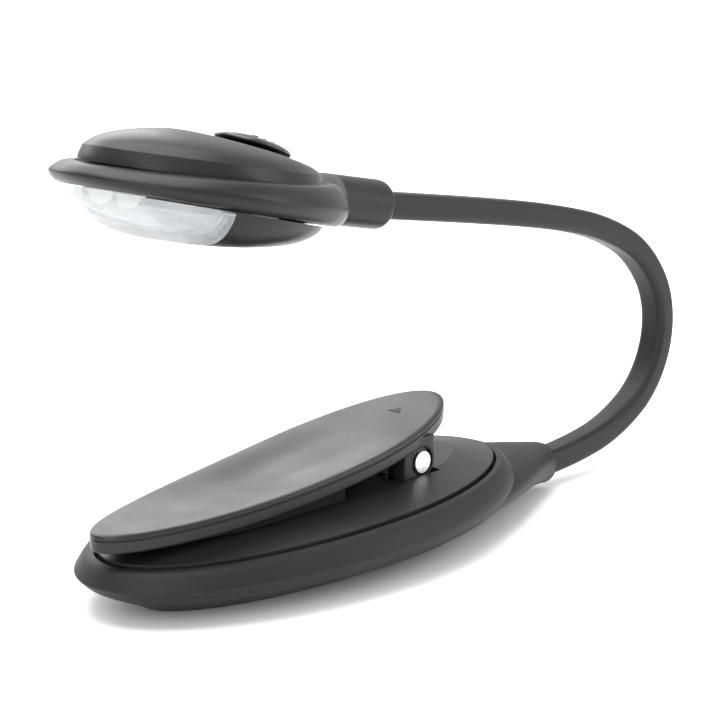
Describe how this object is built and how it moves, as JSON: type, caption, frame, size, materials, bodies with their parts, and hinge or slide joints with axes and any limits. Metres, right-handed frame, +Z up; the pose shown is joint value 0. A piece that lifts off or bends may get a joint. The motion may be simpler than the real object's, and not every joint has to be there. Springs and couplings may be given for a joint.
{
  "type": "clip on reading lamp",
  "caption": "Battery reading lamp with a sprung clip base, a bendable rubber-sheathed neck and an oval head with a clear lens and slide switch",
  "frame": {"origin": "on the table plane under the base's sole, below the widest part of the clip", "axes": "+X towards the neck end of the base, +Y across the lamp, +Z up; the lamp is symmetric about y = 0"},
  "size_m": [0.1196, 0.0384, 0.0616],
  "materials": {
    "soft_shell": "soft touch, fine grain",
    "black_plastic": "satin",
    "steel": "plain",
    "pin_steel": "polished end",
    "rubber": "matte",
    "head_plastic": "satin",
    "gloss_plastic": "polished",
    "clear_lens": "clear moulded plastic",
    "white_plastic": "white",
    "cell_steel": "nickel plate",
    "board": "solder mask",
    "contact": "plain",
    "led_resin": "clear resin",
    "chip": "plain",
    "neck_rubber": "matte",
    "core_steel": "plain"
  },
  "bodies": {
    "base": {"base_ring": "soft_shell", "base_bottom_cover": "black_plastic", "base_tray": "black_plastic", "base_screw_1": "steel", "base_screw_2": "steel", "base_screw_3": "steel", "hinge_pin": "pin_steel", "torsion_spring": "steel", "base_ferrule": "steel", "neck_sleeve_01": "neck_rubber", "neck_core_01": "core_steel"},
    "clip_arm": {"clip_arm": "black_plastic", "clip_pad": "rubber"},
    "neck_link_02": {"neck_sleeve_02": "neck_rubber", "neck_core_02": "core_steel"},
    "neck_link_03": {"neck_sleeve_03": "neck_rubber", "neck_core_03": "core_steel"},
    "neck_link_04": {"neck_sleeve_04": "neck_rubber", "neck_core_04": "core_steel"},
    "neck_link_05": {"neck_sleeve_05": "neck_rubber", "neck_core_05": "core_steel"},
    "neck_link_06": {"neck_sleeve_06": "neck_rubber", "neck_core_06": "core_steel"},
    "neck_link_07": {"neck_sleeve_07": "neck_rubber", "neck_core_07": "core_steel"},
    "neck_link_08": {"neck_sleeve_08": "neck_rubber", "neck_core_08": "core_steel"},
    "neck_link_09": {"neck_sleeve_09": "neck_rubber", "neck_core_09": "core_steel"},
    "head": {"neck_sleeve_10": "neck_rubber", "neck_core_10": "core_steel", "head_ferrule": "steel", "head_ring": "head_plastic", "head_top_cover": "head_plastic", "lens": "clear_lens", "reflector_plate": "white_plastic", "circuit_board": "board", "battery_contact": "contact", "coin_cell_1": "cell_steel", "coin_cell_2": "cell_steel", "led_1": "led_resin", "led_2": "led_resin", "switch_body": "black_plastic", "led_resistor": "chip"},
    "switch_knob": {"switch_knob": "gloss_plastic"},
    "battery_door": {"battery_door": "head_plastic"}
  },
  "joints": [
    {"name": "clip_hinge", "type": "hinge", "parent": "base", "child": "clip_arm", "pos_m": [0.0176, 0, 0.01243], "axis": [0, 1, 0], "range_deg": [0, 18], "stiffness_Nm_per_rad": 0.12, "springref_deg": -20.05, "deforming": ["torsion_spring"]},
    {"name": "neck_flex_1", "type": "hinge", "parent": "base", "child": "neck_link_02", "pos_m": [0.06449, 0, 0.00492], "axis": [0, -1, 0], "range_deg": [-14.55, 0.31]},
    {"name": "neck_flex_2", "type": "hinge", "parent": "neck_link_02", "child": "neck_link_03", "pos_m": [0.07478, 0, 0.00878], "axis": [0, -1, 0], "range_deg": [-32.27, 0.69]},
    {"name": "neck_flex_3", "type": "hinge", "parent": "neck_link_03", "child": "neck_link_04", "pos_m": [0.0813, 0, 0.0174], "axis": [0, -1, 0], "range_deg": [-46.15, 0.99]},
    {"name": "neck_flex_4", "type": "hinge", "parent": "neck_link_04", "child": "neck_link_05", "pos_m": [0.07962, 0, 0.02799], "axis": [0, -1, 0], "range_deg": [-39.54, 1.16]},
    {"name": "neck_flex_5", "type": "hinge", "parent": "neck_link_05", "child": "neck_link_06", "pos_m": [0.07143, 0, 0.03522], "axis": [0, -1, 0], "range_deg": [-20.9, 0.61]},
    {"name": "neck_flex_6", "type": "hinge", "parent": "neck_link_06", "child": "neck_link_07", "pos_m": [0.06109, 0, 0.0391], "axis": [0, -1, 0], "range_deg": [-7.89, 0.23]},
    {"name": "neck_flex_7", "type": "hinge", "parent": "neck_link_07", "child": "neck_link_08", "pos_m": [0.0503, 0, 0.04152], "axis": [0, -1, 0], "range_deg": [-5.3, 0.88]},
    {"name": "neck_flex_8", "type": "hinge", "parent": "neck_link_08", "child": "neck_link_09", "pos_m": [0.03941, 0, 0.04346], "axis": [0, -1, 0], "range_deg": [-3.61, 0.6]},
    {"name": "neck_flex_9", "type": "hinge", "parent": "neck_link_09", "child": "head", "pos_m": [0.0285, 0, 0.04525], "axis": [0, -1, 0], "range_deg": [-3.09, 0.52]},
    {"name": "switch_slide", "type": "slide", "parent": "head", "child": "switch_knob", "axis": [0.9324, 0, -0.3616], "range_m": [0, 0.003]},
    {"name": "battery_door_slide", "type": "slide", "parent": "head", "child": "battery_door", "axis": [-0.1984, 0, -0.9801], "range_m": [0, 0.008]}
  ]
}
